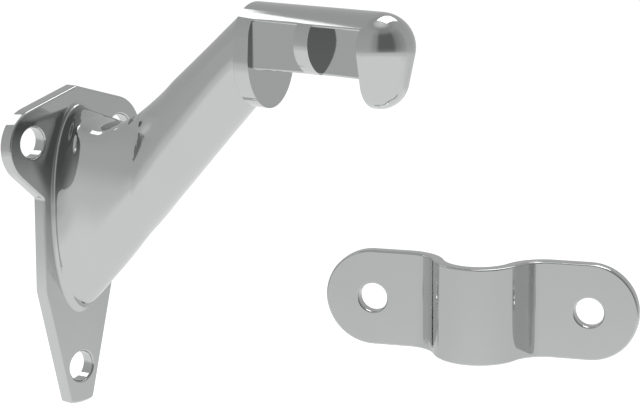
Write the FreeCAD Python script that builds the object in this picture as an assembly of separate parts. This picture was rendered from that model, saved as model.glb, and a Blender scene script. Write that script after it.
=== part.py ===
import FreeCAD, Part
import math
import os

# Handrail bracket, in millimetres. X runs out of the wall, Y along the wall and Z up.
# The origin is the middle of the two upper screw holes, on the face against the wall.

# Wall plate
plate_thickness = 2.9
wall_screw_hole = 6.4
ear_hole_spacing = 25.0
foot_hole_drop = 50.3
apex_rise = 10.8
ear_radius = 8.2
ear_inset = 1.7
ear_drop = 0.8
neck_width = 20.0
neck_drop = 12.2
taper_length = 18.0
foot_width = 6.8
foot_margin = 7.7
foot_crown = 0.4
plate_corner = 1.0
plate_bevel = 0.5

# Cradle bar
bar_radius = 6.6
bar_height = 25.3
lug_back = 53.9
lug_thickness = 4.1
lug_width = 13.6
lug_straight = 3.9
lug_reach = 10.15
strap_gap = 26.5
rib_thickness = 3.5
web_flat = 6.1
web_waist = 4.8
web_sweep = 58.8
web_lean = 5.1
ledge_rise = 3.3
crown_round = 0.35
lug_bevel = 0.3
web_round = 0.45
nose_offset = 0.9
nose_reach = 11.6
nose_toe = 5.4
nose_bevel = 0.35

# Arm and the flare at its root
arm_start = 14.0
arm_root_width = 14.0
arm_root_low = 38.7
arm_root_high = 9.2
arm_root_arch = 8.0
arm_root_keel = 18.0
arm_step = 0.5
arm_heel_step = 0.95
arm_inset = 0.15
arm_sink = 0.35
arm_strips = 8
flare_fillet = 0.8
flare_degree = 3
# Flare sections: X, top, bottom, half width, height of the round top, height of the round foot
flare_sections = (
    (1.5, 6.9, -38.0, 7.6, 22.0, 22.0),
    (5.5, 6.0, -36.2, 7.3, 18.0, 21.0),
    (9.0, 4.7, -32.9, 7.2, 13.0, 18.5),
    (14.0, 3.9, -28.0, 7.15, 9.0, 16.0),
    (20.0, 5.5, -21.8, 7.03, 6.5, 14.5),
    (27.0, 7.8, -13.5, 6.72, 5.0, 13.0),
)

# Pipe strap that clamps the bar to the rail
strap_thickness = 2.1
strap_width = 19.0
strap_hole = 5.7
strap_hole_spacing = 42.8
strap_clearance = 0.3
strap_bend = 6.6
strap_saddle_rise = 0.3
strap_bevel = 0.35
strap_place = (96.05, 17.44, -25.5)
strap_turn = 23.1
strap_lean = -2.4

hole_radius = wall_screw_hole / 2
taper_drop = foot_hole_drop - taper_length
foot_drop = foot_hole_drop + foot_margin
ear_y = ear_hole_spacing / 2
crown = bar_height + bar_radius
lug_low = bar_height - lug_straight - lug_reach
lug_front = lug_back + lug_thickness
nose_inner = lug_front + strap_gap
nose_x = nose_inner + nose_offset
rib_middle = (lug_front + nose_inner) / 2
rib_back = rib_middle - rib_thickness / 2
web_low = bar_height - web_flat
ledge = bar_height + ledge_rise
big = 2 * nose_x
touching = 0.01


def vec(x, y, z):
    return FreeCAD.Vector(x, y, z)


def line(a, b):
    return Part.LineSegment(a, b).toShape()


def arc(a, b, c):
    return Part.Arc(a, b, c).toShape()


def tangent_point(point, centre, radius, side):
    """Where a line from a point (y, z) touches a circle, on the given side."""
    dy = centre[0] - point[0]
    dz = centre[1] - point[1]
    distance = math.hypot(dy, dz)
    reach = math.sqrt(distance ** 2 - radius ** 2)
    angle = math.atan2(dz, dy) + side * math.asin(radius / distance)
    return (point[0] + reach * math.cos(angle), point[1] + reach * math.sin(angle))


def plate_outline():
    """Peaked top, two round ears, a neck and a tapered foot, in order round the edge."""
    apex = (0.0, apex_rise)
    ear = (ear_y - ear_inset, -ear_drop)
    neck = (neck_width / 2, -neck_drop)
    taper = (neck_width / 2, -taper_drop)
    foot = (foot_width / 2, -foot_drop)
    upper = tangent_point(apex, ear, ear_radius, 1)
    lower = tangent_point(neck, ear, ear_radius, -1)
    outer = (ear[0] + ear_radius, ear[1])

    def half(side):
        points = [vec(0, side * y, z) for y, z in (apex, upper, outer, lower, neck, taper, foot)]
        return [
            line(points[0], points[1]),
            arc(points[1], points[2], points[3]),
            line(points[3], points[4]),
            line(points[4], points[5]),
            line(points[5], points[6]),
        ]

    toe = vec(0, 0, -foot_drop - foot_crown)
    sole = arc(vec(0, foot[0], foot[1]), toe, vec(0, -foot[0], foot[1]))
    return Part.Wire(half(1) + [sole] + half(-1)[::-1])


def wall_plate():
    plate = Part.Face(plate_outline()).extrude(vec(plate_thickness, 0, 0))
    corners = []
    for edge in plate.Edges:
        middle = edge.valueAt((edge.FirstParameter + edge.LastParameter) / 2)
        across = abs(middle.x - plate_thickness / 2) < touching
        peak = abs(middle.y) < touching
        toe = abs(middle.z + foot_drop) < touching
        neck = abs(middle.z + neck_drop) < touching
        if across and (peak or toe or neck):
            corners.append(edge)
    plate = plate.makeFillet(plate_corner, corners)
    for y, z in ((ear_y, 0.0), (-ear_y, 0.0), (0.0, -foot_hole_drop)):
        start = vec(-plate_thickness, y, z)
        plate = plate.cut(Part.makeCylinder(hole_radius, plate_thickness * 3, start, vec(1, 0, 0)))
    front = [e for e in plate.Edges if abs(e.BoundBox.XMin - plate_thickness) < touching]
    return plate.makeChamfer(plate_bevel, front)


def half_ellipse(x, z, half_width, height, side, strips=1):
    """The upper (side 1) or lower (side -1) half of an upright ellipse at X = x, in equal parts."""
    curve = Part.Ellipse(vec(0, 0, 0), max(height, half_width), min(height, half_width))
    tall = height > half_width
    first = (0.0 if side > 0 else math.pi) - (math.pi / 2 if tall else 0.0)
    edges = []
    for k in range(strips):
        edge = curve.toShape(first + math.pi * k / strips, first + math.pi * (k + 1) / strips)
        if tall:
            edge.rotate(vec(0, 0, 0), vec(0, 0, 1), 90)
        edge.rotate(vec(0, 0, 0), vec(1, 1, 1), 120)
        edge.translate(vec(x, 0, z))
        edges.append(edge)
    return edges


def oval(x, top, bottom, half_width, arch, keel, strips=1):
    """An upright section: half an ellipse on top, straight sides, half an ellipse below."""
    high = top - arch
    low = bottom + keel
    sides = [line(vec(x, -half_width, high), vec(x, -half_width, low)),
             line(vec(x, half_width, low), vec(x, half_width, high))]
    rounds = half_ellipse(x, high, half_width, arch, 1, strips) + half_ellipse(x, low, half_width, keel, -1, strips)
    return Part.Wire(Part.__sortEdges__(sides + rounds))


def lug_outline(x):
    """The round of the bar on top, widening to a longer half ellipse below."""
    belly = bar_height - lug_straight
    wide = lug_width / 2
    sides = [line(vec(x, side * bar_radius, bar_height), vec(x, side * wide, belly)) for side in (1, -1)]
    rounds = half_ellipse(x, bar_height, bar_radius, bar_radius, 1) + half_ellipse(x, belly, wide, lug_reach, -1)
    return Part.Wire(Part.__sortEdges__(sides + rounds))


def arm():
    """The cast arm: it leaves the flare and narrows as it climbs to the lug."""
    share = (arm_start - plate_thickness) / (lug_back - plate_thickness)

    def between(root, end):
        return root + (end - root) * share

    tip = (crown - arm_step, lug_low + arm_heel_step, bar_radius - arm_inset, bar_radius - arm_inset, lug_reach)
    root = (-arm_root_high, -arm_root_low, arm_root_width / 2, arm_root_arch, arm_root_keel)
    start = [between(a, b) for a, b in zip(root, tip)]
    sections = [oval(arm_start, *start, arm_strips), oval(lug_back + arm_sink, *tip, arm_strips)]
    return Part.makeLoft(sections, True, True)


def flare():
    """The trumpet where the arm spreads on to the plate."""
    sections = [oval(*numbers) for numbers in flare_sections]
    return Part.makeLoft(sections, True, False, False, flare_degree)


def nose_outline(x, half):
    """The nose seen end on: the round of the bar, drawn down to a smaller round toe."""
    toe_drop = nose_reach - nose_toe
    tilt = math.asin((bar_radius - nose_toe) / toe_drop)
    upper = (math.pi / 2 - tilt) / 2
    lower = -(math.pi / 2 + tilt) / 2

    def at(radius, drop, angle, side):
        return vec(x, side * radius * math.cos(angle), bar_height - drop + radius * math.sin(angle))

    edges = []
    for side in ((1,) if half else (1, -1)):
        top = at(bar_radius, 0, math.pi / 2, side)
        waist = at(bar_radius, 0, -tilt, side)
        shoulder = at(nose_toe, toe_drop, -tilt, side)
        tip = at(nose_toe, toe_drop, -math.pi / 2, side)
        edges.append(arc(top, at(bar_radius, 0, upper, side), waist))
        edges.append(line(waist, shoulder))
        edges.append(arc(shoulder, at(nose_toe, toe_drop, lower, side), tip))
    if half:
        edges.append(line(tip, top))
    return Part.Face(Part.Wire(Part.__sortEdges__(edges)))


def middle_of(edge):
    return edge.valueAt((edge.FirstParameter + edge.LastParameter) / 2)


def upright_at(edge, x):
    """True for an edge that lies in the plane X = x."""
    return abs(edge.BoundBox.XMin - x) < touching and abs(edge.BoundBox.XMax - x) < touching


def seam_edge(edge):
    """Where the flare stands on the front of the plate."""
    middle = middle_of(edge)
    top, bottom, half_width = flare_sections[0][1:4]
    return upright_at(edge, plate_thickness) and abs(middle.y) < half_width and bottom < middle.z < top


def lug_edge(edge):
    """The edge of the lug that faces the arm."""
    return upright_at(edge, lug_back)


def ledge_edge(edge):
    """The two lower edges of the round crown."""
    level = abs(edge.BoundBox.ZMin - ledge) < touching and abs(edge.BoundBox.ZMax - ledge) < touching
    return level and edge.BoundBox.XLength > 1.0


def web_edge(edge):
    """The two bottom edges of the waisted web."""
    level = abs(edge.BoundBox.ZMin - web_low) < touching and abs(edge.BoundBox.ZMax - web_low) < touching
    return level and edge.BoundBox.XLength > 1.0


def nose_edge(edge):
    """The edge of the nose that faces the lug."""
    return upright_at(edge, nose_inner)


def round_edges(body, wanted, radius):
    return body.makeFillet(radius, [edge for edge in body.Edges if wanted(edge)])


def saddle_bar():
    """The bar between lug and nose: round on top, waisted below, with one full rib."""
    start = vec(lug_front, 0, bar_height)
    rod = Part.makeCylinder(bar_radius, strap_gap + nose_offset, start, vec(1, 0, 0))
    cap = rod.cut(Part.makeBox(2 * big, 2 * big, ledge + big, vec(0, -big, -big)))
    web = Part.makeBox(strap_gap, 2 * bar_radius, ledge - web_low, vec(lug_front, -bar_radius, web_low))
    for side in (1, -1):
        middle = vec(rib_middle + web_lean, side * (web_waist / 2 + web_sweep), 0)
        web = web.cut(Part.makeCylinder(web_sweep, big, middle, vec(0, 0, 1)))
    rib = rod.common(Part.makeBox(rib_thickness, 2 * big, big, vec(rib_back, -big, web_low)))
    cap = round_edges(cap, ledge_edge, crown_round)
    web = round_edges(web, web_edge, web_round)
    return cap.fuse([web, rib])


def nose():
    """The blunt end that keeps the strap on the bar."""
    shank = nose_outline(nose_inner, False).extrude(vec(nose_offset, 0, 0))
    dome = nose_outline(nose_x, True).revolve(vec(nose_x, 0, 0), vec(0, 0, 1), -180)
    blunt = shank.fuse(dome)
    return blunt.makeChamfer(nose_bevel, [edge for edge in blunt.Edges if nose_edge(edge)])


def bracket():
    head = Part.Face(lug_outline(lug_back)).extrude(vec(lug_thickness, 0, 0))
    head = head.makeChamfer(lug_bevel, [edge for edge in head.Edges if lug_edge(edge)])
    body = round_edges(wall_plate().fuse(flare()), seam_edge, flare_fillet)
    for piece in (arm(), head, saddle_bar(), nose()):
        body = body.fuse(piece)
    return body.removeSplitter()


def saddle_profile(inset):
    """Points of half of the strap's side view, as (along, out), moved in by inset."""
    outer = bar_radius + strap_clearance + strap_thickness
    run = math.sqrt((outer + strap_bend) ** 2 - (strap_saddle_rise - strap_bend) ** 2)
    reach = strap_bend + inset
    touch = math.atan2(strap_saddle_rise - strap_bend, -run) + 2 * math.pi
    middle = (touch + 1.5 * math.pi) / 2
    return {
        "flat": (run, -inset),
        "bend": (run + reach * math.cos(middle), strap_bend + reach * math.sin(middle)),
        "touch": (run + reach * math.cos(touch), strap_bend + reach * math.sin(touch)),
        "crest": (0.0, strap_saddle_rise + outer - inset),
    }


def rim_edges(strip):
    """The outer edges and hole edges of the strap's show side."""
    show = []
    for face in strip.Faces:
        surface = face.Surface
        kind = type(surface).__name__
        if kind == "Plane" and abs(surface.Axis.z) > 0.9 and abs(face.CenterOfMass.z) < touching:
            show.append(face)
        outer = bar_radius + strap_clearance + strap_thickness
        if kind == "Cylinder" and abs(surface.Axis.y) > 0.9:
            if min(abs(surface.Radius - strap_bend), abs(surface.Radius - outer)) < touching:
                show.append(face)
    edges = [edge for face in show for edge in face.Edges]
    return [edge for edge in edges if sum(edge.isSame(other) for other in edges) == 1]


def strap():
    """A flat strip pressed over the bar, drawn in its own frame and then set in its place."""
    half_length = strap_hole_spacing / 2 + strap_width / 2
    half_width = strap_width / 2
    edges = []
    for inset in (0.0, strap_thickness):
        shape = saddle_profile(inset)
        for side in (1, -1):
            tip = vec(side * half_length, 0, -inset)
            flat, bend, touch = [vec(side * shape[k][0], 0, shape[k][1]) for k in ("flat", "bend", "touch")]
            edges += [line(tip, flat), arc(flat, bend, touch)]
        edges.append(arc(touch, vec(0, 0, shape["crest"][1]), vec(-touch.x, 0, touch.z)))
    for side in (1, -1):
        edges.append(line(vec(side * half_length, 0, 0), vec(side * half_length, 0, -strap_thickness)))
    strip = Part.Face(Part.Wire(Part.__sortEdges__(edges))).extrude(vec(0, strap_width, 0))
    strip.translate(vec(0, -half_width, 0))
    plan = Part.makeBox(strap_hole_spacing, strap_width, big, vec(-strap_hole_spacing / 2, -half_width, -big / 2))
    for side in (1, -1):
        centre = vec(side * strap_hole_spacing / 2, 0, -big / 2)
        plan = plan.fuse(Part.makeCylinder(half_width, big, centre, vec(0, 0, 1)))
    strip = strip.common(plan)
    for side in (1, -1):
        centre = vec(side * strap_hole_spacing / 2, 0, -big / 2)
        strip = strip.cut(Part.makeCylinder(strap_hole / 2, big, centre, vec(0, 0, 1)))
    strip = strip.makeChamfer(strap_bevel, rim_edges(strip))
    strip.rotate(vec(0, 0, 0), vec(1, 0, 0), 90 - strap_lean)
    strip.rotate(vec(0, 0, 0), vec(0, 0, 1), strap_turn)
    strip.translate(vec(*strap_place))
    return strip.removeSplitter()


os.makedirs("parts", exist_ok=True)
for node, shape in (("bracket", bracket()), ("strap", strap())):
    box = shape.BoundBox
    print(node, "valid", shape.isValid(), "solids", len(shape.Solids), "volume", round(shape.Volume, 1),
          "box", [round(v, 2) for v in (box.XMin, box.YMin, box.ZMin, box.XMax, box.YMax, box.ZMax)])
    shape.exportStep("parts/" + node + ".step")
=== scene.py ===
# %% [markdown]
# # A chrome handrail bracket
# The bracket is a polished zinc casting with bright chrome on it, and beside it lies the pressed strap that
# clamps a rail to its bar. Both solids come from the CAD as they are. This lesson gives them their finish: a
# smooth skin over the CAD triangles, a chrome that shows the small marks of polishing and handling, and a
# soft studio for the chrome to mirror. Chrome has almost no colour of its own, so most of the work is in
# what it reflects.

# %% Load the frame
import math

import bmesh
import bpy
from mathutils import Matrix, Vector


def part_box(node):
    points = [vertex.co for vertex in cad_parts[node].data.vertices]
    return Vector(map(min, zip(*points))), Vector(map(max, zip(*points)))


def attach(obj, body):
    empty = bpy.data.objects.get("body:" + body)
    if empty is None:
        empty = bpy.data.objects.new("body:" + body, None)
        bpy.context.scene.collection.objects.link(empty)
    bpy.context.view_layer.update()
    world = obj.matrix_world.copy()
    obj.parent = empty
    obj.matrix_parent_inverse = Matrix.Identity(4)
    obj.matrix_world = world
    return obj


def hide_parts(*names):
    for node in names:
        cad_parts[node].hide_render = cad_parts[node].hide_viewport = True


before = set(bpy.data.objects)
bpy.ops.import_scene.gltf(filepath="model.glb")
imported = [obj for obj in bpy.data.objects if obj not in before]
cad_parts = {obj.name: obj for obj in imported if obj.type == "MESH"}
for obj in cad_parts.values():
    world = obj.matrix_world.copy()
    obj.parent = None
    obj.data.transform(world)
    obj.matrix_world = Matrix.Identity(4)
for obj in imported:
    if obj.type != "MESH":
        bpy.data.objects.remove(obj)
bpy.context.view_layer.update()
for name in sorted(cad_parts):
    low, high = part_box(name)
    print(name, "measures", [round(1000 * (high[i] - low[i]), 1) for i in range(3)], "mm")

# %% [markdown]
# ## Camera
# A long lens a good half metre away keeps the plate and the strap in nearly true proportion, as catalogue
# pictures do. The camera stands in front and to the right of the wall plate and looks down a little. Its
# place and lens are plain numbers in the object's own frame, and the two angles turn it.

# %% Camera
camera_place = Vector((0.3463, -0.3221, 0.0747))
camera_turn = math.radians(40.57)
camera_dip = math.radians(10.77)
focal_length = 125.8
film_width = 36
nearest_seen = 0.01


def aim(turn, dip):
    """The camera's own axes: it looks along -Z of this matrix, with X to the right."""
    look = Vector((-math.sin(turn) * math.cos(dip), math.cos(turn) * math.cos(dip), -math.sin(dip)))
    right = Vector((math.cos(turn), math.sin(turn), 0))
    up = right.cross(look)
    return Matrix((right, up, -look)).transposed().to_4x4()


lens = bpy.data.cameras.new("studio_camera")
lens.lens = focal_length
lens.sensor_width = film_width
lens.clip_start = nearest_seen
camera = bpy.data.objects.new("studio_camera", lens)
camera.matrix_world = Matrix.Translation(camera_place) @ aim(camera_turn, camera_dip)
bpy.context.scene.collection.objects.link(camera)
bpy.context.scene.camera = camera
print("camera", round(camera_place.length, 3), "m from the screw holes, lens", focal_length, "mm")

# %% [markdown]
# ## A helper for node trees
# Every finish and light below is a tree of nodes. This small helper adds a node and fills its sockets by
# name, so that each tree reads as a list of what it does.


# %% Helper for nodes
def node(tree, kind, links=None, **settings):
    """Add a node; settings are its own switches, links its inputs by name or number."""
    new = tree.nodes.new(kind)
    for key, value in settings.items():
        setattr(new, key, value)
    for key, value in (links or {}).items():
        socket = new.inputs[key]
        if isinstance(value, bpy.types.NodeSocket):
            tree.links.new(value, socket)
        else:
            socket.default_value = value
    return new


def blend(tree, factor, first, second):
    """Mix two colours by a factor; inputs 6 and 7 of the Mix node are its pair of colours."""
    new = node(tree, "ShaderNodeMix", {0: factor, 6: first, 7: second}, data_type="RGBA")
    return new.outputs[2]


def ramp(tree, factor, stops, smooth="EASE"):
    """A colour ramp through (place, brightness) stops."""
    new = node(tree, "ShaderNodeValToRGB", {"Fac": factor})
    band = new.color_ramp
    band.interpolation = smooth
    while len(band.elements) < len(stops):
        band.elements.new(0.5)
    for element, (place, value) in zip(band.elements, stops):
        element.position = place
        element.color = (value, value, value, 1)
    return new.outputs["Color"]


print("helpers ready")

# %% [markdown]
# ## The studio that the chrome mirrors
# A mirror shows the room, so the room is built first. Chromium gives back only a little more than half of
# the light, which is why it looks grey against white paper. The room is a dome: white paper below, a band
# where the paper curls up, duller walls above it and a bright ceiling. On one side the studio is open and
# dark, and that side gives the chrome its deep tones. The camera itself sees plain white behind the object,
# which a Light Path node allows.

# %% Height and compass angle in the dome
bpy.context.scene.view_settings.view_transform = "Standard"
world = bpy.data.worlds.new("studio_dome")
bpy.context.scene.world = world
world.use_nodes = True
dome = world.node_tree
dome.nodes.clear()
# In a world, Generated is the direction in which a ray leaves.
outward = node(dome, "ShaderNodeTexCoord").outputs["Generated"]
split = node(dome, "ShaderNodeSeparateXYZ", {"Vector": outward})
rise = node(dome, "ShaderNodeMath", {0: split.outputs["Z"]}, operation="ARCSINE")
height = node(dome, "ShaderNodeMapRange", {"Value": rise.outputs[0],
                                           "From Min": -math.pi / 2, "From Max": math.pi / 2})
compass = node(dome, "ShaderNodeMath", {0: split.outputs["Y"], 1: split.outputs["X"]}, operation="ARCTAN2")
around = node(dome, "ShaderNodeMapRange", {"Value": compass.outputs[0],
                                           "From Min": -math.pi, "From Max": math.pi})
print("dome begins with", len(dome.nodes), "nodes")

# %% [markdown]
# The brightness of the dome is written as stops: an angle in degrees and how bright the paper is there.
# Heights count from the horizon, compass angles from the X axis. The open side is dark only where both its
# height and its compass angle say so, and the two are multiplied for that.


# %% Brightness of the dome
wall_by_height = ((-25, 1.0), (-16, 0.8), (-8, 0.6), (4, 0.56), (50, 0.52), (68, 0.46), (80, 0.8), (90, 1.0))
open_by_height = ((-14, 0.0), (-4, 0.85), (4, 1.0), (42, 1.0), (60, 0.4), (76, 0.0))
open_by_compass = ((-92, 0.0), (-70, 0.35), (-54, 1.0), (-10, 1.0), (8, 0.55), (28, 0.32), (50, 0.0))
open_side_tone = (0.175, 0.178, 0.177, 1)


def by_height(stops):
    """Brightness by the angle above the horizon."""
    return ramp(dome, height.outputs["Result"], [((degrees + 90) / 180, value) for degrees, value in stops])


def by_compass(stops):
    """Brightness by the compass angle."""
    return ramp(dome, around.outputs["Result"], [((degrees + 180) / 360, value) for degrees, value in stops])


open_side = node(dome, "ShaderNodeMath", {0: by_height(open_by_height), 1: by_compass(open_by_compass)},
                 operation="MULTIPLY")
room = blend(dome, open_side.outputs[0], by_height(wall_by_height), open_side_tone)
print("walls have", len(wall_by_height), "stops, the open side", len(open_by_height) + len(open_by_compass))

# %% White paper for the camera, the room for the mirror
seen = node(dome, "ShaderNodeLightPath")
mirrored = node(dome, "ShaderNodeBackground", {"Color": room, "Strength": 1.0})
paper = node(dome, "ShaderNodeBackground", {"Color": (1, 1, 1, 1), "Strength": 1.0})
pick = node(dome, "ShaderNodeMixShader", {0: seen.outputs["Is Camera Ray"],
                                          1: mirrored.outputs[0], 2: paper.outputs[0]})
node(dome, "ShaderNodeOutputWorld", {"Surface": pick.outputs[0]})
print("dome has", len(dome.nodes), "nodes")

# %% [markdown]
# ## Soft boxes
# Two soft boxes hang round the bench. The long one overhead whitens the crest of the nose and makes the
# crescent on the saddle of the flare, and the one to the left draws the bright stripe along the round bar.
# Each gives its own brightness whatever its size, so the power is worked out from the area.


# %% Soft boxes
bench_middle = Vector((0.05, 0.0, 0.0))
ceiling_side = math.radians(100)
ceiling_shift, ceiling_height = 0.62, 1.0
ceiling_turn = math.radians(10)


def soft_box(name, place, turn, size, brightness):
    """An area light that shines along its own -Z; size is (across, up)."""
    lamp = bpy.data.lights.new(name, "AREA")
    lamp.shape = "RECTANGLE"
    lamp.size, lamp.size_y = size
    lamp.energy = brightness * math.pi * size[0] * size[1]
    holder = bpy.data.objects.new(name, lamp)
    holder.location = place
    holder.rotation_euler = turn
    holder.visible_camera = False
    bpy.context.scene.collection.objects.link(holder)
    print(name, "power", round(lamp.energy, 1), "W")


def around_part(compass_degrees, rise_degrees, distance):
    """A place seen from the bench's middle: compass angle from X, angle above the bench and distance."""
    a, e = math.radians(compass_degrees), math.radians(rise_degrees)
    level = distance * math.cos(e)
    return bench_middle + Vector((level * math.cos(a), level * math.sin(a), distance * math.sin(e)))


def facing_bench(place):
    """The turn that points a lamp at the bench's middle."""
    return (place - bench_middle).to_track_quat("Z", "Y").to_euler()


ceiling_place = bench_middle + Vector((ceiling_shift * math.cos(ceiling_side),
                                       ceiling_shift * math.sin(ceiling_side), ceiling_height))
soft_box("ceiling_box", ceiling_place, (0, 0, ceiling_turn), size=(0.44, 0.95), brightness=3.0)
left_place = around_part(compass_degrees=186, rise_degrees=41, distance=1.2)
soft_box("left_box", left_place, facing_bench(left_place), size=(0.54, 0.36), brightness=1.55)

# %% [markdown]
# ## Floor
# The bracket belongs on a wall, so nothing touches the floor: a wide sheet of pale paper well below the part
# only closes the studio. It is left out of the mirror image, because the dome already gives the chrome its
# bright lower half.

# %% Pale floor
half_sheet = 6.0
sheet_height = -0.35
corners = [(half_sheet * across, half_sheet * along, sheet_height)
           for across, along in ((-1, -1), (1, -1), (1, 1), (-1, 1))]
floor_mesh = bpy.data.meshes.new("pale_floor")
floor_mesh.from_pydata(corners, [], [(0, 1, 2, 3)])
floor = bpy.data.objects.new("pale_floor", floor_mesh)
bpy.context.scene.collection.objects.link(floor)
paper_finish = bpy.data.materials.new("pale_paper")
paper_finish.use_nodes = True
sheet = paper_finish.node_tree
sheet.nodes.clear()
on_sheet = node(sheet, "ShaderNodeTexCoord").outputs["Object"]
fibre = node(sheet, "ShaderNodeTexNoise", {"Vector": on_sheet, "Scale": 3.0, "Detail": 2.0})
tone = ramp(sheet, fibre.outputs["Fac"], ((0.3, 0.93), (0.7, 0.96)), "LINEAR")
matt = node(sheet, "ShaderNodeBsdfPrincipled", {"Base Color": tone, "Roughness": 0.9,
                                                "Emission Color": (1, 1, 1, 1), "Emission Strength": 0.6})
node(sheet, "ShaderNodeOutputMaterial", {"Surface": matt.outputs[0]})
floor_mesh.materials.append(paper_finish)
floor.visible_glossy = False
print("floor at", sheet_height, "m")

# %% [markdown]
# ## Chrome
# Bright chrome is a mirror with a faint blue-grey cast. What makes it look real is what breaks the mirror a
# little: a slow waviness left by polishing, hairline scratches from the buff that run one way, and a thin
# film from handling that dulls it in patches. Both pieces share one node group for this, with its own
# amounts on each piece.


# %% Node group: polishing marks
group_inputs = (("Wave size", "NodeSocketFloat", 60.0), ("Wave depth", "NodeSocketFloat", 0.05),
                ("Hairlines", "NodeSocketFloat", 0.2), ("Film", "NodeSocketFloat", 0.5),
                ("Smooth", "NodeSocketFloat", 0.03), ("Dull", "NodeSocketFloat", 0.12),
                ("Clean tint", "NodeSocketColor", (0.8, 0.8, 0.8, 1)),
                ("Film tint", "NodeSocketColor", (0.7, 0.7, 0.7, 1)))
group_outputs = (("Color", "NodeSocketColor"), ("Roughness", "NodeSocketFloat"),
                 ("Normal", "NodeSocketVector"))
hairline_scale = (260.0, 2600.0, 2600.0)
film_patch_scale = 45.0
film_from, film_full = 0.45, 0.75
mark_depth = 0.0004


def polish_group():
    """Colour, roughness and normal of polished chrome, from its waves, hairlines and film."""
    group = bpy.data.node_groups.new("polish_marks", "ShaderNodeTree")
    for name, kind, value in group_inputs:
        group.interface.new_socket(name, in_out="INPUT", socket_type=kind).default_value = value
    for name, kind in group_outputs:
        group.interface.new_socket(name, in_out="OUTPUT", socket_type=kind)
    given = node(group, "NodeGroupInput").outputs
    place = node(group, "ShaderNodeTexCoord").outputs["Object"]
    wave = node(group, "ShaderNodeTexNoise", {"Vector": place, "Scale": given["Wave size"], "Detail": 2.0,
                                              "Roughness": 0.4})
    stretched = node(group, "ShaderNodeMapping", {"Vector": place, "Scale": hairline_scale})
    hair = node(group, "ShaderNodeTexNoise", {"Vector": stretched.outputs[0], "Scale": 1.0, "Detail": 4.0,
                                              "Roughness": 0.7})
    hairline = node(group, "ShaderNodeMath", {0: hair.outputs["Fac"], 1: given["Hairlines"]},
                    operation="MULTIPLY")
    relief = node(group, "ShaderNodeMath", {0: wave.outputs["Fac"], 1: hairline.outputs[0]}, operation="ADD")
    bump = node(group, "ShaderNodeBump", {"Height": relief.outputs[0], "Strength": given["Wave depth"],
                                          "Distance": mark_depth})
    patch = node(group, "ShaderNodeTexNoise", {"Vector": place, "Scale": film_patch_scale, "Detail": 5.0,
                                               "Roughness": 0.6})
    smear = node(group, "ShaderNodeMapRange", {"Value": patch.outputs["Fac"], "From Min": film_from,
                                               "From Max": film_full}, interpolation_type="SMOOTHSTEP")
    film = node(group, "ShaderNodeMath", {0: smear.outputs["Result"], 1: given["Film"]}, operation="MULTIPLY")
    tint = blend(group, film.outputs[0], given["Clean tint"], given["Film tint"])
    rough = node(group, "ShaderNodeMapRange", {"Value": film.outputs[0], "To Min": given["Smooth"],
                                               "To Max": given["Dull"]})
    node(group, "NodeGroupOutput", {"Color": tint, "Roughness": rough.outputs["Result"],
                                    "Normal": bump.outputs["Normal"]})
    return group


marks = polish_group()
print("polish group has", len(marks.nodes), "nodes")

# %% [markdown]
# A casting is ground and polished on a wheel, so its waves are shorter and deeper. The strap is pressed from
# rolled strip: it is flatter, with more hairlines and a little more film. The plating is the same on both.


# %% Chrome finishes
clean_chrome = (0.553, 0.566, 0.560, 1)
filmed_chrome = (0.530, 0.543, 0.538, 1)


def chrome(name, amounts):
    """A metal with the polishing marks in it; amounts fill the group's inputs by name."""
    finish = bpy.data.materials.new(name)
    finish.use_nodes = True
    tree = finish.node_tree
    tree.nodes.clear()
    wear = node(tree, "ShaderNodeGroup", node_tree=marks)
    for key, value in amounts.items():
        wear.inputs[key].default_value = value
    plating = node(tree, "ShaderNodeBsdfPrincipled", {"Base Color": wear.outputs["Color"], "Metallic": 1.0,
                                                      "Roughness": wear.outputs["Roughness"],
                                                      "Normal": wear.outputs["Normal"]})
    node(tree, "ShaderNodeOutputMaterial", {"Surface": plating.outputs[0]})
    print("finish", name)
    return finish


casting_chrome = chrome("bright_casting_chrome", {
    "Wave size": 70.0, "Wave depth": 0.04, "Hairlines": 0.15, "Film": 0.35, "Smooth": 0.06, "Dull": 0.14,
    "Clean tint": clean_chrome, "Film tint": filmed_chrome})
strip_chrome = chrome("bright_strip_chrome", {
    "Wave size": 40.0, "Wave depth": 0.03, "Hairlines": 0.35, "Film": 0.45, "Smooth": 0.07, "Dull": 0.15,
    "Clean tint": clean_chrome, "Film tint": filmed_chrome})

# %% [markdown]
# ## A smooth skin over the CAD triangles
# The CAD nodes arrive as loose flat triangles, and a mirror shows every one of them. A small Geometry Nodes
# tree welds a copy of each node and shades it smooth. That alone would smear the light over the flat faces,
# so the skin's normals are then set one by one: every broad face keeps its own, and the narrow bevels along
# the edges lean from one broad face to the next, so that they catch the light like the soft edges that
# polishing leaves.


# %% Geometry Nodes: weld and smooth
weld_distance = 0.000002


def skin_tree():
    """Welds the loose triangles, shades them smooth and gives them a finish."""
    tree = bpy.data.node_groups.new("weld_and_smooth", "GeometryNodeTree")
    face = tree.interface
    face.new_socket("Geometry", in_out="INPUT", socket_type="NodeSocketGeometry")
    face.new_socket("Weld distance", in_out="INPUT", socket_type="NodeSocketFloat")
    face.new_socket("Finish", in_out="INPUT", socket_type="NodeSocketMaterial")
    face.new_socket("Geometry", in_out="OUTPUT", socket_type="NodeSocketGeometry")
    given = node(tree, "NodeGroupInput").outputs
    weld = node(tree, "GeometryNodeMergeByDistance", {"Geometry": given["Geometry"],
                                                      "Distance": given["Weld distance"]})
    smooth = node(tree, "GeometryNodeSetShadeSmooth", {"Geometry": weld.outputs[0], "Shade Smooth": True})
    whole = node(tree, "GeometryNodeRealizeInstances", {"Geometry": smooth.outputs[0]})
    dressed = node(tree, "GeometryNodeSetMaterial", {"Geometry": whole.outputs[0],
                                                     "Material": given["Finish"]})
    node(tree, "NodeGroupOutput", {"Geometry": dressed.outputs[0]})
    return tree


skin = skin_tree()


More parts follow.
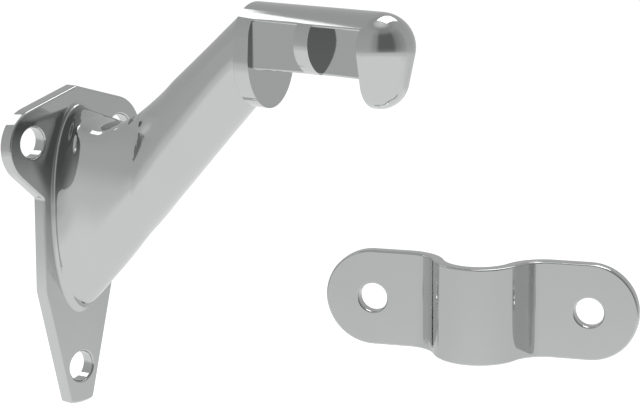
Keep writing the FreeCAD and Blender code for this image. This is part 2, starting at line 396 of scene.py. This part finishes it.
def welded(cad_name, finish):
    """A plain mesh: the CAD node's copy, welded, smooth and with its finish."""
    copy = bpy.data.objects.new("copy_of_" + cad_name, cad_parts[cad_name].data.copy())
    bpy.context.scene.collection.objects.link(copy)
    change = copy.modifiers.new("skin", "NODES")
    change.node_group = skin
    names = {item.name: item.identifier for item in skin.interface.items_tree
             if item.item_type == "SOCKET" and item.in_out == "INPUT"}
    change[names["Weld distance"]] = weld_distance
    change[names["Finish"]] = finish
    bpy.context.view_layer.update()
    graph = bpy.context.evaluated_depsgraph_get()
    mesh = bpy.data.meshes.new_from_object(copy.evaluated_get(graph), preserve_all_data_layers=True,
                                           depsgraph=graph)
    bpy.data.objects.remove(copy)
    return mesh


print("skin tree has", len(skin.nodes), "nodes")

# %% [markdown]
# To tell a broad face from a bevel, triangles that meet almost flat are gathered in patches. The mean width
# of a patch is twice its area over its rim, and every patch narrower than 0.8 mm counts as a bevel. A fillet
# joins the faces beside it in one patch, because its triangles turn in small steps.


# %% Broad faces and bevels
same_face_bend = math.radians(19)
widest_bevel = 0.0008
shortest_rim = 1e-9
same_side = 0.5


def faces_by_edge(mesh):
    """Which faces share each edge."""
    shared = {}
    for face in mesh.polygons:
        for key in face.edge_keys:
            shared.setdefault(key, []).append(face.index)
    return shared


def patches(mesh, shared):
    """Number the patches of faces that join almost flat."""
    near = [[] for _ in mesh.polygons]
    limit = math.cos(same_face_bend)
    for pair in shared.values():
        if len(pair) == 2 and mesh.polygons[pair[0]].normal.dot(mesh.polygons[pair[1]].normal) > limit:
            near[pair[0]].append(pair[1])
            near[pair[1]].append(pair[0])
    patch = [-1] * len(mesh.polygons)
    count = 0
    for start in range(len(patch)):
        if patch[start] >= 0:
            continue
        patch[start] = count
        waiting = [start]
        while waiting:
            for other in near[waiting.pop()]:
                if patch[other] < 0:
                    patch[other] = count
                    waiting.append(other)
        count += 1
    return patch, count


def patch_widths(mesh, shared, patch, count):
    """Area and mean width of each patch: twice its area over its rim."""
    area = [0.0] * count
    rim = [0.0] * count
    for face in mesh.polygons:
        area[patch[face.index]] += face.area
    for (a, b), pair in shared.items():
        length = (mesh.vertices[a].co - mesh.vertices[b].co).length
        if len(pair) == 2 and patch[pair[0]] != patch[pair[1]]:
            rim[patch[pair[0]]] += length
            rim[patch[pair[1]]] += length
    return area, [2 * area[k] / max(rim[k], shortest_rim) for k in range(count)]


print("a bend under", round(math.degrees(same_face_bend)), "degrees doesn't part a face")


# %% Normals that lean over the bevels
def lean_normals(mesh, refine):
    """Set every corner's normal: a broad patch keeps its own, a bevel borrows from the one that it touches.

    The last word is with refine, which may turn a normal on the arm or on the strap's walls.
    """
    shared = faces_by_edge(mesh)
    patch, count = patches(mesh, shared)
    area, width = patch_widths(mesh, shared, patch, count)
    at_point = [{} for _ in mesh.vertices]
    for face in mesh.polygons:
        for point in face.vertices:
            own = at_point[point].setdefault(patch[face.index], Vector((0, 0, 0)))
            own += face.normal * face.area
    normals = []
    for face in mesh.polygons:
        mine = patch[face.index]
        for point in face.vertices:
            choice = mine
            if width[mine] < widest_bevel:
                broad = [k for k in at_point[point] if width[k] >= widest_bevel and
                         at_point[point][k].normalized().dot(face.normal) > same_side]
                if broad:
                    choice = max(broad, key=lambda k: area[k])
            normals.append(refine(face.index, point, at_point[point][choice].normalized()))
    mesh.normals_split_custom_set(normals)
    bevels = sum(1 for k in range(count) if width[k] < widest_bevel)
    print(mesh.name, "has", count - bevels, "broad patches and", bevels, "bevels")


# %% [markdown]
# ## Fuller cheeks on the arm
# The CAD builds each upright section of the arm from straight sides and two elliptic ends. The cast arm is a
# little fuller: its cheeks bow softly from top to bottom and turn over in tighter shoulders. Bare metal
# would hardly show the difference, but a mirror does, because it sets how far the reflected ears of the
# plate reach along the flare. So the skin's points between plate and lug move sideways by a factor that
# depends on their place. Nothing moves up, down or along the arm, so its outline from the side and its
# crease stay where they are. All numbers in this part are millimetres, X out of the wall and Z up. A section
# is its top, bottom, half width, and the heights of its round top and its round foot.

# %% Sections of the flare and the arm
flare_sections = ((1.5, 6.9, -38.0, 7.6, 22.0, 22.0),
                  (5.5, 6.0, -36.2, 7.3, 18.0, 21.0),
                  (9.0, 4.7, -32.9, 7.2, 13.0, 18.5),
                  (14.0, 3.9, -28.0, 7.15, 9.0, 16.0),
                  (20.0, 5.5, -21.8, 7.03, 6.5, 14.5),
                  (27.0, 7.8, -13.5, 6.72, 5.0, 13.0))
arm_root = (-9.2, -38.7, 7.0, 8.0, 18.0)
arm_tip = (31.4, 12.2, 6.45, 6.45, 10.15)
arm_from, arm_to = 2.9, 53.9
crease_line = ((-40.0, 20.5), (-24.0, 21.2), (-10.0, 24.4), (-1.0, 26.0), (6.3, 27.4), (12.0, 28.4))


def through(rows, x):
    """A smooth curve through rows of (x, values...), held level outside them."""
    x = min(max(x, rows[0][0]), rows[-1][0])
    k = max(i for i in range(len(rows) - 1) if rows[i][0] <= x)
    span = rows[k + 1][0] - rows[k][0]
    t = (x - rows[k][0]) / span

    def slope(i, column):
        a, b = rows[max(i - 1, 0)], rows[min(i + 1, len(rows) - 1)]
        return (b[column] - a[column]) / (b[0] - a[0]) * span

    return [(2 * t ** 3 - 3 * t ** 2 + 1) * rows[k][c] + (t ** 3 - 2 * t ** 2 + t) * slope(k, c)
            + (3 * t ** 2 - 2 * t ** 3) * rows[k + 1][c] + (t ** 3 - t ** 2) * slope(k + 1, c)
            for c in range(1, len(rows[0]))]


def flare_section(x):
    """The section of the flare at a distance from the wall."""
    return through(flare_sections, x)


def arm_section(x):
    """The section of the straight arm, which tapers evenly from its root to its tip."""
    share = (x - arm_from) / (arm_to - arm_from)
    return [root + (tip - root) * share for root, tip in zip(arm_root, arm_tip)]


def past_crease(x, z):
    """How far out a point lies from the curved crease where flare and arm meet."""
    return x - through(crease_line, z)[0]


print("flare at its saddle:", [round(v, 1) for v in flare_section(14)])
print("arm at the lug:", [round(v, 1) for v in arm_section(arm_to)])

# %% [markdown]
# A cheek is fullest along one line and bows away above and below it. The bow is the radius of that curve,
# and a power above 2 turns an elliptic end into one with tighter shoulders. Flare and arm each have their
# own line, bow and powers, which change steadily from one X to another, and the two forms melt together
# behind the crease.

# %% How full the cheeks are
flare_line_height, flare_line_slope = -3.3, -0.082
arm_line_height, arm_line_slope, arm_line_at = 0.35, 0.837, 31
least_bowed = 0.5
shoulder_power = ((9.0, 13.0), (20.0, 5.2), (27.0, 3.4))
width_change = ((4.0, 0.0), (6.0, -0.02), (10.0, 0.01), (14.0, -0.03), (20.0, -0.05), (26.0, 0.0))
flare_begins, flare_full = 4, 10
arm_fades, arm_plain = 32, 53
melt_length = 7
# Each change runs between two places and says the value at the first and at the last.
flare_bow = (14, 27, 93, 60)
flare_foot_power = (9, 20, 8.7, 4.1)
arm_bow = (27, 54, 60, 40)
arm_top_power = (30, 54, 3.4, 2.0)
arm_foot_power = (22, 54, 4.1, 2.2)


def between(x, first, last, low, high):
    """A value that changes steadily between two places and is level outside them."""
    share = min(max((x - first) / (last - first), 0.0), 1.0)
    return low + (high - low) * share


def ease(low, high, x):
    """From 0 to 1 between two places, with a soft start and a soft stop."""
    t = min(max((x - low) / (high - low), 0.0), 1.0)
    return t * t * (3 - 2 * t)


def tighter(t, power):
    """Turns an elliptic end into one with tighter shoulders; power 2 leaves it as it is."""
    t = min(max(t, 0.0), 0.999)
    return math.sqrt((1 - t ** power) / (1 - t * t))


def cheek(z, section, line, bow, top_power, foot_power):
    """How much a point of a section moves out, as a factor on its half width."""
    top, bottom, width, arch, keel = section
    bowed = max(1 - (z - line) ** 2 / (2 * bow * width), least_bowed)
    shoulder = tighter((z - top + arch) / arch, top_power)
    foot = tighter((bottom + keel - z) / keel, foot_power)
    return bowed * shoulder * foot


def widening(x, z):
    """The factor on a point's distance from the middle plane."""
    flare_line = flare_line_height + flare_line_slope * x
    flared = cheek(z, flare_section(x), flare_line, between(x, *flare_bow),
                   through(shoulder_power, x)[0], between(x, *flare_foot_power))
    flared = (1 + ease(flare_begins, flare_full, x) * (flared - 1)) * (1 + through(width_change, x)[0])
    arm_line = arm_line_height + arm_line_slope * (x - arm_line_at)
    straight = cheek(z, arm_section(x), arm_line, between(x, *arm_bow),
                     between(x, *arm_top_power), between(x, *arm_foot_power))
    straight = 1 + (1 - ease(arm_fades, arm_plain, x)) * (straight - 1)
    share = ease(0, melt_length, past_crease(x, z))
    return flared * (1 - share) + straight * share


print("widening on the flare's shoulder:", round(widening(14, 1), 2))

# %% [markdown]
# The CAD's triangles are long, so the skin is first sliced crosswise, finer round the crease. Then each
# point between plate and lug moves by its factor. Every face is noted as flare or arm, because along the
# crease the two have different normals.

# %% Slice and widen
# Slices run from one place to another, with a step.
even_slices = (4.5, 52.5, 1.5)
crease_slices = (25.3, 31, 0.5)
on_the_cut = 1e-7
plate_front = 2.9
off_the_plate = 0.005
cheeks_from, cheeks_to = 4, 53
crease_slack = 0.6
flare_favour = 0.02


def slice_arm(mesh, first, last, step):
    """Cut the arm crosswise, so that it has points enough to follow the new form."""
    work = bmesh.new()
    work.from_mesh(mesh)
    for k in range(int((last - first) / step) + 1):
        bmesh.ops.bisect_plane(work, geom=work.verts[:] + work.edges[:] + work.faces[:], dist=on_the_cut,
                               plane_co=((first + k * step) / 1000, 0, 0), plane_no=(1, 0, 0))
    bmesh.ops.triangulate(work, faces=[face for face in work.faces if len(face.verts) > 3])
    work.to_mesh(mesh)
    work.free()
    mesh.update()


def inside(x, y, z, section):
    """Below zero inside a section, zero on it and above zero outside."""
    top, bottom, width, arch, keel = section(x)
    end = max((z - top + arch) / arch, (bottom + keel - z) / keel, 0.0)
    return math.sqrt((y / width) ** 2 + end ** 2) - 1


def widen_arm(mesh):
    """Move the arm's points sideways; says for each face whether it is on the flare or on the arm."""
    kinds = {}
    for face in mesh.polygons:
        x, y, z = (1000 * c for c in face.center)
        if plate_front + off_the_plate < x < cheeks_to:
            nearer_flare = inside(x, y, z, flare_section) < inside(x, y, z, arm_section) + flare_favour
            flared = nearer_flare and past_crease(x, z) < crease_slack
            kinds[face.index] = flare_section if flared else arm_section
    for vertex in mesh.vertices:
        x, z = 1000 * vertex.co.x, 1000 * vertex.co.z
        if cheeks_from < x < cheeks_to:
            vertex.co.y *= widening(x, z)
    mesh.update()
    print("widened", len(kinds), "faces of the arm")
    return kinds


print("arm is sliced every", even_slices[2], "mm and every", crease_slices[2], "mm round the crease")

# %% [markdown]
# Averaged triangle normals would ripple in a mirror, so the true normal of the widened form is measured at
# each point: the form is a function of place, and its normal is the way in which that function grows
# fastest. Two details ride on it. Beside the plate the normal turns to face out of the wall, as in a small
# seam fillet. Just past the crease it turns forward, because the cast flare ends in a small lip and the skin
# drops off it, which the chrome shows as a dark stroke along the crease.

# %% Normals on the arm
seam_radius = 0.8
lip_tilt = math.radians(58)
lip_begins = 0.35
# The stroke grows from its foot to its head: two heights, then its length at each of them.
lip_length = (-3, 3, 0.5, 4.4)
lip_full_share = 0.2
lip_foot = (-3.4, -1.0)
lip_head = (3.5, 4.6)
cheek_facing = (0.7, 0.9)
lug_blend = (52, 53.5)


def cheek_normal(point, section, reach=0.03):
    """The direction in which the widened form falls away, measured over a short reach."""
    def value(x, y, z):
        return inside(x, y / widening(x, z), z, section)

    x, y, z = (1000 * c for c in point)
    away = Vector((value(x + reach, y, z) - value(x - reach, y, z),
                   value(x, y + reach, z) - value(x, y - reach, z),
                   value(x, y, z + reach) - value(x, y, z - reach))).normalized()
    rise = min(max((x - plate_front) / seam_radius, 0.0), 1.0)
    out = Vector((1 - rise, 0, 0))
    return (out + math.sqrt(1 - out.x ** 2) * away).normalized()


def behind_lip(normal, x, z):
    """Turns a cheek's normal forward just past the crease, where the skin drops off the lip of the flare."""
    length = between(z, *lip_length)
    near = 1 - ease(lip_full_share * length, length, past_crease(x, z))
    level = ease(*lip_foot, z) * (1 - ease(*lip_head, z))
    turn = lip_tilt * near * level * ease(*cheek_facing, abs(normal.y))
    forward = Vector((1, 0, 0)) - normal.x * normal
    return (math.cos(turn) * normal + math.sin(turn) * forward.normalized()).normalized()


def arm_refiner(mesh, kinds):
    """Gives points on the flare and the arm the normal of the widened form."""
    known = {}

    def refine(face, point, normal):
        if face not in kinds:
            return normal
        place = mesh.vertices[point].co
        x, z = 1000 * place.x, 1000 * place.z
        key = (point, kinds[face])
        if key not in known:
            known[key] = cheek_normal(place, kinds[face])
            if kinds[face] is arm_section or past_crease(x, z) > lip_begins:
                known[key] = behind_lip(known[key], x, z)
        return normal.lerp(known[key], 1 - ease(*lug_blend, x)).normalized()

    return refine


print("seam fillet", seam_radius, "mm, lip up to", lip_length[3], "mm long")

# %% [markdown]
# ## Crisper bends on the strap
# A press folds strip in tight bends, with a nearly flat wall between the ear and the round saddle. The CAD's
# bend is one wider arc that keeps the same outline. On the stretch between ear and saddle the skin's normals
# are therefore steepened: small tilts are laid flat with the ear and large ones take the full tilt of the
# wall, so the wall mirrors the ear and its screw hole as one dark panel.

# %% Normals on the strap's walls
strap_middle = Vector((0.09605, 0.01744, -0.0255))
strap_turn = math.radians(23.1)
strap_lean = math.radians(92.4)
strap_axes = (Matrix.Rotation(strap_turn, 3, "Z") @ Matrix.Rotation(strap_lean, 3, "X")).transposed()
saddle_edge = 0.00823
wall_tilt = math.radians(66)
turned_wall_tilt = math.radians(44)
flat_below, wall_above, too_steep = 0.2 * wall_tilt, 0.5 * wall_tilt, 1.2 * wall_tilt
cut_edge = 0.5


def steepened(tilt):
    """The tilt of a tight bend in place of a wide one's; a tilt past its wall's own stays."""
    steep = ease(flat_below, wall_above, abs(tilt)) * (wall_tilt if tilt > 0 else turned_wall_tilt)
    if abs(tilt) > steep > turned_wall_tilt / 2:
        steep = abs(tilt)
    return math.copysign(steep, tilt)


def strap_refiner(mesh):
    """Steepens the strap's bends; works in its own axes: along, across and out."""
    def refine(face, point, normal):
        along = (strap_axes @ (mesh.vertices[point].co - strap_middle)).x
        own = strap_axes @ normal
        side = 1 if own.z >= 0 else -1
        tilt = math.atan2(side * own.x, side * own.z)
        if abs(along) < saddle_edge or abs(own.y) > cut_edge or abs(tilt) > too_steep:
            return normal
        level = math.hypot(own.x, own.z)
        own.x = side * level * math.sin(steepened(tilt))
        own.z = side * level * math.cos(steepened(tilt))
        return (strap_axes.transposed() @ own).normalized()

    return refine


print("strap walls begin", 1000 * saddle_edge, "mm from its middle")

# %% [markdown]
# ## Dressing the pieces
# Each piece gets its skin in one go: weld, slice and widen where it is the casting, set the normals, and
# hang the plain mesh on the body. The skin then stands for its CAD node, in the node's own place.


# %% Dress the two pieces
def dress(cad_name, piece_name, finish):
    """A smooth skin that stands for a CAD node."""
    mesh = welded(cad_name, finish)
    mesh.name = piece_name
    if cad_name == "bracket":
        slice_arm(mesh, *even_slices)
        slice_arm(mesh, *crease_slices)
        refine = arm_refiner(mesh, widen_arm(mesh))
    else:
        refine = strap_refiner(mesh)
    lean_normals(mesh, refine)
    piece = bpy.data.objects.new(piece_name, mesh)
    bpy.context.scene.collection.objects.link(piece)
    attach(piece, "root")
    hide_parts(cad_name)
    print(piece_name, len(mesh.polygons), "faces and", len(mesh.vertices), "points")


dress("bracket", "polished_casting", casting_chrome)
dress("strap", "polished_strap", strip_chrome)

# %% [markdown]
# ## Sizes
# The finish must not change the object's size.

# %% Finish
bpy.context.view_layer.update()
